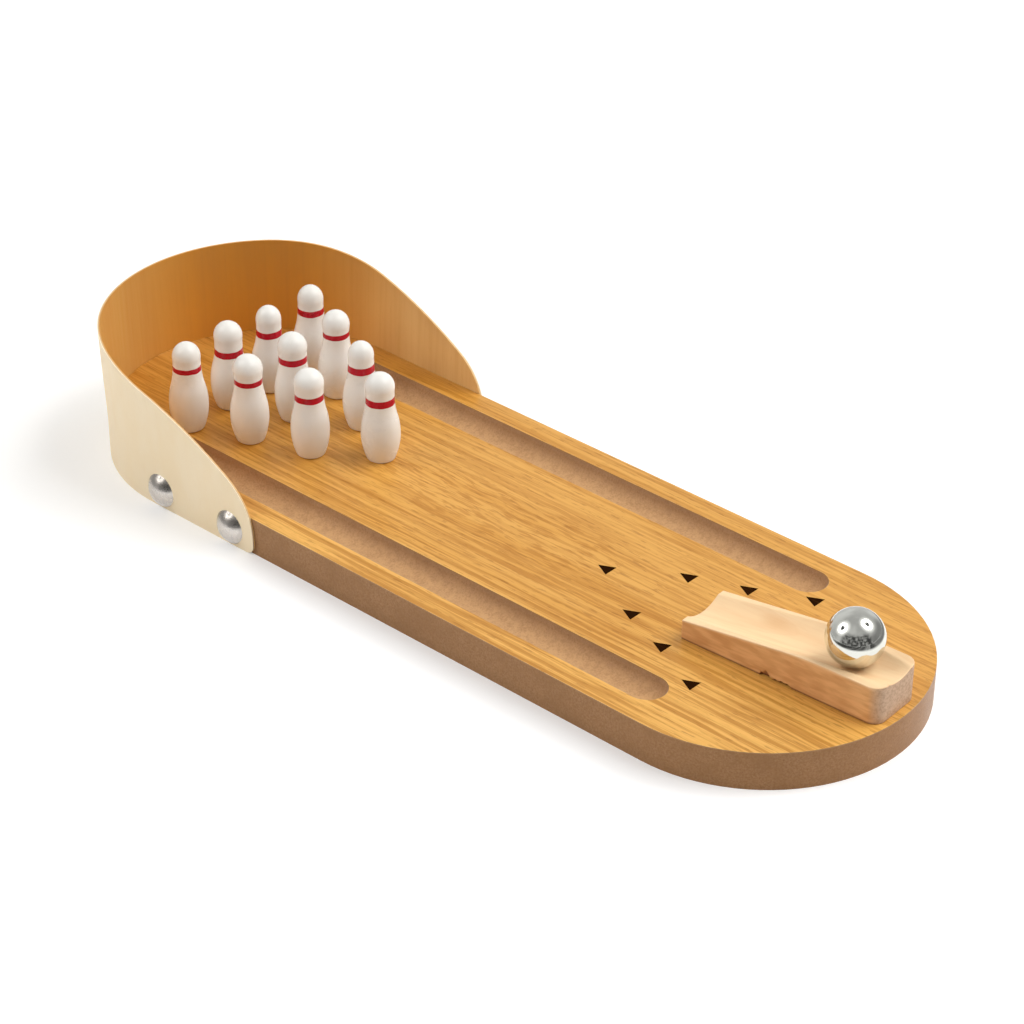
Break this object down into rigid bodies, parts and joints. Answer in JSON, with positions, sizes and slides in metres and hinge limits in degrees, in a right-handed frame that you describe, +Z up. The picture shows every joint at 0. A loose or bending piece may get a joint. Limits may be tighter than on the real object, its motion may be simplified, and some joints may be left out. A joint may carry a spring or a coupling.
{
  "type": "table bowling game",
  "caption": "Tabletop bowling game: round-ended lane board with two gutters, bent plywood pin guard, turned pins, grooved ball ramp and steel ball.",
  "frame": {"origin": "under the middle of the game, on the face it rests on", "axes": "+Y down the lane to the pins, +X to the bowler's right, +Z up"},
  "size_m": [0.1074, 0.2982, 0.0442],
  "materials": {
    "fibreboard": "raw medium density fibreboard",
    "oak_face": "satin oak face",
    "birch_ply": "raw thin birch plywood",
    "chrome_tack": "polished",
    "white_paint": "satin white paint with a red neck band",
    "pine": "sanded raw pine",
    "polished_steel": "mirror polished"
  },
  "bodies": {
    "game_base": {"lane_board": "fibreboard", "oak_face": "oak_face", "pin_guard": "birch_ply", "tack_left_front": "chrome_tack", "tack_left_rear": "chrome_tack", "tack_right_front": "chrome_tack", "tack_right_rear": "chrome_tack"},
    "pin_01": {"pin_01": "white_paint"},
    "pin_02": {"pin_02": "white_paint"},
    "pin_03": {"pin_03": "white_paint"},
    "pin_04": {"pin_04": "white_paint"},
    "pin_05": {"pin_05": "white_paint"},
    "pin_06": {"pin_06": "white_paint"},
    "pin_07": {"pin_07": "white_paint"},
    "pin_08": {"pin_08": "white_paint"},
    "pin_09": {"pin_09": "white_paint"},
    "pin_10": {"pin_10": "white_paint"},
    "ball_ramp": {"ball_ramp": "pine"},
    "steel_ball": {"steel_ball": "polished_steel"}
  },
  "joints": [
    {"name": "pin_01_lift", "type": "slide", "parent": "game_base", "child": "pin_01", "axis": [0, 0, 1], "range_m": [0, 0.05]},
    {"name": "pin_02_lift", "type": "slide", "parent": "game_base", "child": "pin_02", "axis": [0, 0, 1], "range_m": [0, 0.05]},
    {"name": "pin_03_lift", "type": "slide", "parent": "game_base", "child": "pin_03", "axis": [0, 0, 1], "range_m": [0, 0.05]},
    {"name": "pin_04_lift", "type": "slide", "parent": "game_base", "child": "pin_04", "axis": [0, 0, 1], "range_m": [0, 0.05]},
    {"name": "pin_05_lift", "type": "slide", "parent": "game_base", "child": "pin_05", "axis": [0, 0, 1], "range_m": [0, 0.05]},
    {"name": "pin_06_lift", "type": "slide", "parent": "game_base", "child": "pin_06", "axis": [0, 0, 1], "range_m": [0, 0.05]},
    {"name": "pin_07_lift", "type": "slide", "parent": "game_base", "child": "pin_07", "axis": [0, 0, 1], "range_m": [0, 0.05]},
    {"name": "pin_08_lift", "type": "slide", "parent": "game_base", "child": "pin_08", "axis": [0, 0, 1], "range_m": [0, 0.05]},
    {"name": "pin_09_lift", "type": "slide", "parent": "game_base", "child": "pin_09", "axis": [0, 0, 1], "range_m": [0, 0.05]},
    {"name": "pin_10_lift", "type": "slide", "parent": "game_base", "child": "pin_10", "axis": [0, 0, 1], "range_m": [0, 0.05]},
    {"name": "ramp_aim", "type": "hinge", "parent": "game_base", "child": "ball_ramp", "pos_m": [-0.0004, -0.1136, 0.0123], "axis": [0, 0, 1], "range_deg": [-17.7, 12.3]},
    {"name": "ball_roll", "type": "slide", "parent": "ball_ramp", "child": "steel_ball", "axis": [-0.0469, 0.994, -0.0993], "range_m": [-0.012, 0.05]}
  ]
}
